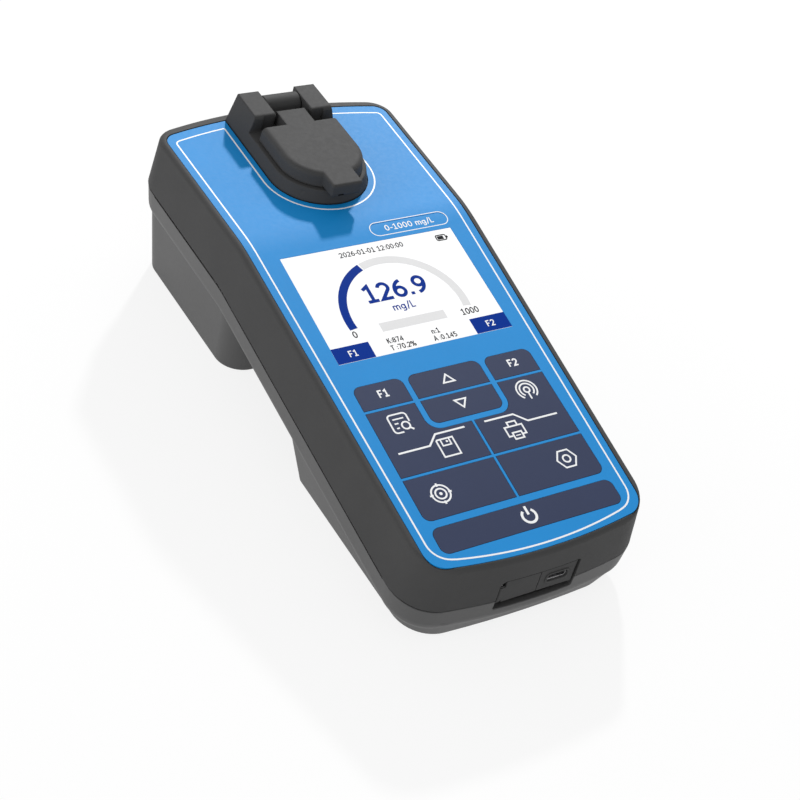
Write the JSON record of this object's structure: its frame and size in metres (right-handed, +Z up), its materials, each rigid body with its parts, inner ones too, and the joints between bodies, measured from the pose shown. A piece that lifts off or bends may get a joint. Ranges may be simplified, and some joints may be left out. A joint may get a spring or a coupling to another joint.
{
  "type": "suspended solids analyzer",
  "caption": "Portable suspended solids meter: bent two-shell case, display and flush keypad, and a round sample well under a hinged lid.",
  "frame": {"origin": "middle of the resting face, on the surface the meter stands on", "axes": "+Z up, +Y to the rear end with the sample lid, +X to the right seen from the keypad end"},
  "size_m": [0.109, 0.227, 0.0731],
  "materials": {
    "case_plastic": "fine moulded grain",
    "lid_plastic": "fine moulded grain",
    "overlay_film": "satin printed film",
    "key_film": "satin printed film",
    "display_face": "bright white display",
    "module_metal": "folded sheet frame",
    "board": "solder mask",
    "chip": "moulded epoxy",
    "optic_black": "light-tight black",
    "steel": "plain zinc plated",
    "contact": "plated spring metal",
    "rubber": "soft black rubber",
    "clear_glass": "polished window",
    "cell_wrap": "shrink sleeve"
  },
  "bodies": {
    "housing": {"upper_case": "case_plastic", "lower_case": "case_plastic", "case_gasket": "rubber", "front_overlay": "overlay_film", "display_window": "display_face", "display_module": "module_metal", "key_board": "board", "key_domes": "steel", "main_board": "board", "board_spacers": "steel", "board_chips": "chip", "clock_battery": "steel", "buzzer": "chip", "cell_holder": "optic_black", "well_windows": "clear_glass", "light_source": "clear_glass", "through_detector": "chip", "side_detector": "chip", "source_board": "board", "detector_board": "board", "lid_collar": "lid_plastic", "hinge_pin": "steel", "case_screws": "steel", "collar_screws": "steel", "battery_door": "case_plastic", "door_screws": "steel", "battery_cells": "cell_wrap", "battery_contacts": "contact", "foot_pads": "rubber", "port_frame": "optic_black", "flap_pin": "steel", "port_plate": "case_plastic", "data_socket": "steel", "charging_jack": "chip", "port_board": "board"},
    "lid": {"sample_lid": "lid_plastic", "lid_seal": "rubber"},
    "port_flap": {"port_flap": "case_plastic"},
    "key_f1": {"key_f1": "key_film"},
    "key_f2": {"key_f2": "key_film"},
    "key_up": {"key_up": "key_film"},
    "key_down": {"key_down": "key_film"},
    "key_view_save": {"key_view_save": "key_film"},
    "key_send_print": {"key_send_print": "key_film"},
    "key_calibrate": {"key_calibrate": "key_film"},
    "key_settings": {"key_settings": "key_film"},
    "key_power": {"key_power": "key_film"}
  },
  "joints": [
    {"name": "lid_hinge", "type": "hinge", "parent": "housing", "child": "lid", "pos_m": [0, 0.1022, 0.0684], "axis": [-1, 0, 0], "range_deg": [0, 105]},
    {"name": "flap_hinge", "type": "hinge", "parent": "housing", "child": "port_flap", "pos_m": [-0.01495, -0.11145, 0.02], "axis": [0, 0, -1], "range_deg": [0, 70]},
    {"name": "key_f1_press", "type": "slide", "parent": "housing", "child": "key_f1", "axis": [0, 0.165, -0.9863], "range_m": [0, 0.00035], "stiffness_N_per_m": 1500, "springref_m": -0.0003},
    {"name": "key_f2_press", "type": "slide", "parent": "housing", "child": "key_f2", "axis": [0, 0.165, -0.9863], "range_m": [0, 0.00035], "stiffness_N_per_m": 1500, "springref_m": -0.0003},
    {"name": "key_up_press", "type": "slide", "parent": "housing", "child": "key_up", "axis": [0, 0.165, -0.9863], "range_m": [0, 0.00035], "stiffness_N_per_m": 1500, "springref_m": -0.0003},
    {"name": "key_down_press", "type": "slide", "parent": "housing", "child": "key_down", "axis": [0, 0.165, -0.9863], "range_m": [0, 0.00035], "stiffness_N_per_m": 1500, "springref_m": -0.0003},
    {"name": "key_view_save_press", "type": "slide", "parent": "housing", "child": "key_view_save", "axis": [0, 0.165, -0.9863], "range_m": [0, 0.00035], "stiffness_N_per_m": 1500, "springref_m": -0.0003},
    {"name": "key_send_print_press", "type": "slide", "parent": "housing", "child": "key_send_print", "axis": [0, 0.165, -0.9863], "range_m": [0, 0.00035], "stiffness_N_per_m": 1500, "springref_m": -0.0003},
    {"name": "key_calibrate_press", "type": "slide", "parent": "housing", "child": "key_calibrate", "axis": [0, 0.165, -0.9863], "range_m": [0, 0.00035], "stiffness_N_per_m": 1500, "springref_m": -0.0003},
    {"name": "key_settings_press", "type": "slide", "parent": "housing", "child": "key_settings", "axis": [0, 0.165, -0.9863], "range_m": [0, 0.00035], "stiffness_N_per_m": 1500, "springref_m": -0.0003},
    {"name": "key_power_press", "type": "slide", "parent": "housing", "child": "key_power", "axis": [0, 0.165, -0.9863], "range_m": [0, 0.00035], "stiffness_N_per_m": 1500, "springref_m": -0.0003}
  ]
}
